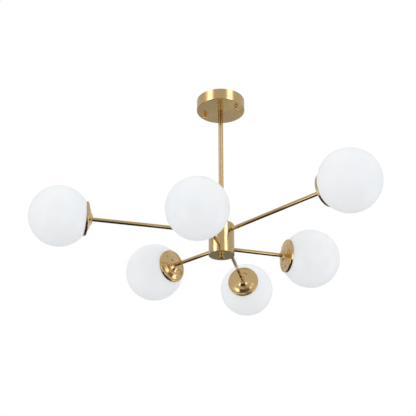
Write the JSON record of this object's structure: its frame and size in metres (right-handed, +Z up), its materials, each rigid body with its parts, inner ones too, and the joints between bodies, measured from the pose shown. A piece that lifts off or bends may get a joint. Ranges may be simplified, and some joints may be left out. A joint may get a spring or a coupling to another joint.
{
  "type": "branch chandelier",
  "caption": "Brushed brass branch chandelier: round canopy, straight down rod and drum hub with staggered tiers of straight arms, each ending in a spun saucer and an opal glass globe.",
  "frame": {"origin": "centre of the ceiling bracket's upper face, in the plane of the ceiling", "axes": "+Z up, along the down rod; -Y along lower arm 2, so that upper arm 1 lies 3 degrees from +Y; +X to the right, seen from lower arm 2 towards the rod"},
  "size_m": [0.8599, 0.7994, 0.507],
  "materials": {
    "brass": "brushed, satin, lacquered",
    "dark_brass": "dark satin",
    "steel": "zinc plated",
    "opal_glass": "opal, glossy",
    "lamp_glass": "frosted",
    "porcelain": "glazed porcelain",
    "rubber": "silicone, matt",
    "cable": "silicone-sheathed lead",
    "earth_lead": "green and yellow insulation",
    "earth_green": "green marked screw",
    "plastic": "moulded"
  },
  "bodies": {
    "frame": {"ceiling_bracket": "steel", "bracket_studs": "steel", "stud_nuts": "steel", "canopy_nipple": "steel", "rod_nuts": "steel", "hub_nipple": "steel", "arm_nipples": "steel", "arm_nuts": "steel", "canopy": "brass", "down_rod": "brass", "hub_body": "brass", "hub_cover": "dark_brass", "earth_screw": "earth_green", "earth_lead": "earth_lead", "terminal_block": "porcelain", "supply_lead": "cable", "arm_leads": "cable", "distribution_block": "plastic", "arm_upper_1": "brass", "saucer_upper_1": "brass", "lampholder_upper_1": "porcelain", "arm_upper_2": "brass", "saucer_upper_2": "brass", "lampholder_upper_2": "porcelain", "arm_upper_3": "brass", "saucer_upper_3": "brass", "lampholder_upper_3": "porcelain", "arm_lower_1": "brass", "saucer_lower_1": "brass", "lampholder_lower_1": "porcelain", "arm_lower_2": "brass", "saucer_lower_2": "brass", "lampholder_lower_2": "porcelain", "arm_lower_3": "brass", "saucer_lower_3": "brass", "lampholder_lower_3": "porcelain"},
    "seal_upper_1": {"seal_upper_1": "rubber"},
    "globe_upper_1": {"globe_upper_1": "opal_glass"},
    "lamp_upper_1": {"lamp_upper_1": "lamp_glass"},
    "seal_upper_2": {"seal_upper_2": "rubber"},
    "globe_upper_2": {"globe_upper_2": "opal_glass"},
    "lamp_upper_2": {"lamp_upper_2": "lamp_glass"},
    "seal_upper_3": {"seal_upper_3": "rubber"},
    "globe_upper_3": {"globe_upper_3": "opal_glass"},
    "lamp_upper_3": {"lamp_upper_3": "lamp_glass"},
    "seal_lower_1": {"seal_lower_1": "rubber"},
    "globe_lower_1": {"globe_lower_1": "opal_glass"},
    "lamp_lower_1": {"lamp_lower_1": "lamp_glass"},
    "seal_lower_2": {"seal_lower_2": "rubber"},
    "globe_lower_2": {"globe_lower_2": "opal_glass"},
    "lamp_lower_2": {"lamp_lower_2": "lamp_glass"},
    "seal_lower_3": {"seal_lower_3": "rubber"},
    "globe_lower_3": {"globe_lower_3": "opal_glass"},
    "lamp_lower_3": {"lamp_lower_3": "lamp_glass"},
    "cap_washer_1": {"cap_washer_1": "brass"},
    "cap_washer_2": {"cap_washer_2": "brass"},
    "cap_nut_1": {"cap_nut_1": "brass"},
    "cap_nut_2": {"cap_nut_2": "brass"},
    "finial_washer": {"finial_washer": "brass"},
    "finial_nut": {"finial_nut": "brass"}
  },
  "joints": [
    {"name": "globe_upper_1_draw", "type": "slide", "parent": "frame", "child": "seal_upper_1", "axis": [-0.0523, 0.9986, 0], "range_m": [0, 0.0101]},
    {"name": "globe_upper_1_unscrew", "type": "hinge", "parent": "seal_upper_1", "child": "globe_upper_1", "pos_m": [-0.02146, 0.40944, -0.39], "axis": [-0.0523, 0.9986, 0], "range_deg": [0, 900]},
    {"name": "lamp_upper_1_pull", "type": "slide", "parent": "frame", "child": "lamp_upper_1", "axis": [-0.0523, 0.9986, 0], "range_m": [0, 0.021]},
    {"name": "globe_upper_2_draw", "type": "slide", "parent": "frame", "child": "seal_upper_2", "axis": [-0.8788, -0.4772, 0], "range_m": [0, 0.0101]},
    {"name": "globe_upper_2_unscrew", "type": "hinge", "parent": "seal_upper_2", "child": "globe_upper_2", "pos_m": [-0.36031, -0.19564, -0.39], "axis": [-0.8788, -0.4772, 0], "range_deg": [0, 900]},
    {"name": "lamp_upper_2_pull", "type": "slide", "parent": "frame", "child": "lamp_upper_2", "axis": [-0.8788, -0.4772, 0], "range_m": [0, 0.021]},
    {"name": "globe_upper_3_draw", "type": "slide", "parent": "frame", "child": "seal_upper_3", "axis": [0.8526, -0.5225, 0], "range_m": [0, 0.0101]},
    {"name": "globe_upper_3_unscrew", "type": "hinge", "parent": "seal_upper_3", "child": "globe_upper_3", "pos_m": [0.34958, -0.21422, -0.39], "axis": [0.8526, -0.5225, 0], "range_deg": [0, 900]},
    {"name": "lamp_upper_3_pull", "type": "slide", "parent": "frame", "child": "lamp_upper_3", "axis": [0.8526, -0.5225, 0], "range_m": [0, 0.021]},
    {"name": "globe_lower_1_draw", "type": "slide", "parent": "frame", "child": "seal_lower_1", "axis": [-0.8788, 0.4772, 0], "range_m": [0, 0.0101]},
    {"name": "globe_lower_1_unscrew", "type": "hinge", "parent": "seal_lower_1", "child": "globe_lower_1", "pos_m": [-0.21092, 0.11452, -0.432], "axis": [-0.8788, 0.4772, 0], "range_deg": [0, 900]},
    {"name": "lamp_lower_1_pull", "type": "slide", "parent": "frame", "child": "lamp_lower_1", "axis": [-0.8788, 0.4772, 0], "range_m": [0, 0.021]},
    {"name": "globe_lower_2_draw", "type": "slide", "parent": "frame", "child": "seal_lower_2", "axis": [0, -1, 0], "range_m": [0, 0.0101]},
    {"name": "globe_lower_2_unscrew", "type": "hinge", "parent": "seal_lower_2", "child": "globe_lower_2", "pos_m": [0, -0.24, -0.432], "axis": [0, -1, 0], "range_deg": [0, 900]},
    {"name": "lamp_lower_2_pull", "type": "slide", "parent": "frame", "child": "lamp_lower_2", "axis": [0, -1, 0], "range_m": [0, 0.021]},
    {"name": "globe_lower_3_draw", "type": "slide", "parent": "frame", "child": "seal_lower_3", "axis": [0.8616, 0.5075, 0], "range_m": [0, 0.0101]},
    {"name": "globe_lower_3_unscrew", "type": "hinge", "parent": "seal_lower_3", "child": "globe_lower_3", "pos_m": [0.20679, 0.12181, -0.432], "axis": [0.8616, 0.5075, 0], "range_deg": [0, 900]},
    {"name": "lamp_lower_3_pull", "type": "slide", "parent": "frame", "child": "lamp_lower_3", "axis": [0.8616, 0.5075, 0], "range_m": [0, 0.021]},
    {"name": "cap_nut_1_draw", "type": "slide", "parent": "frame", "child": "cap_washer_1", "axis": [0, 0, -1], "range_m": [0, 0.0056]},
    {"name": "cap_nut_1_unscrew", "type": "hinge", "parent": "cap_washer_1", "child": "cap_nut_1", "pos_m": [-0.045, 0.00956, -0.0335], "axis": [0, 0, -1], "range_deg": [0, 2882]},
    {"name": "cap_nut_2_draw", "type": "slide", "parent": "frame", "child": "cap_washer_2", "axis": [0, 0, -1], "range_m": [0, 0.0056]},
    {"name": "cap_nut_2_unscrew", "type": "hinge", "parent": "cap_washer_2", "child": "cap_nut_2", "pos_m": [0.045, -0.00956, -0.0335], "axis": [0, 0, -1], "range_deg": [0, 2882]},
    {"name": "finial_draw", "type": "slide", "parent": "frame", "child": "finial_washer", "axis": [0, 0, -1], "range_m": [0, 0.005]},
    {"name": "finial_unscrew", "type": "hinge", "parent": "finial_washer", "child": "finial_nut", "pos_m": [0, 0, -0.456], "axis": [0, 0, -1], "range_deg": [0, 1802]}
  ],
  "couplings": [
    {"joint": "globe_upper_1_draw", "follows": "globe_upper_1_unscrew", "m_per_rad": 0.00063662},
    {"joint": "globe_upper_2_draw", "follows": "globe_upper_2_unscrew", "m_per_rad": 0.00063662},
    {"joint": "globe_upper_3_draw", "follows": "globe_upper_3_unscrew", "m_per_rad": 0.00063662},
    {"joint": "globe_lower_1_draw", "follows": "globe_lower_1_unscrew", "m_per_rad": 0.00063662},
    {"joint": "globe_lower_2_draw", "follows": "globe_lower_2_unscrew", "m_per_rad": 0.00063662},
    {"joint": "globe_lower_3_draw", "follows": "globe_lower_3_unscrew", "m_per_rad": 0.00063662},
    {"joint": "cap_nut_1_unscrew", "follows": "cap_nut_1_draw", "rad_per_m": 8976},
    {"joint": "cap_nut_2_unscrew", "follows": "cap_nut_2_draw", "rad_per_m": 8976},
    {"joint": "finial_unscrew", "follows": "finial_draw", "rad_per_m": 6283.2}
  ]
}
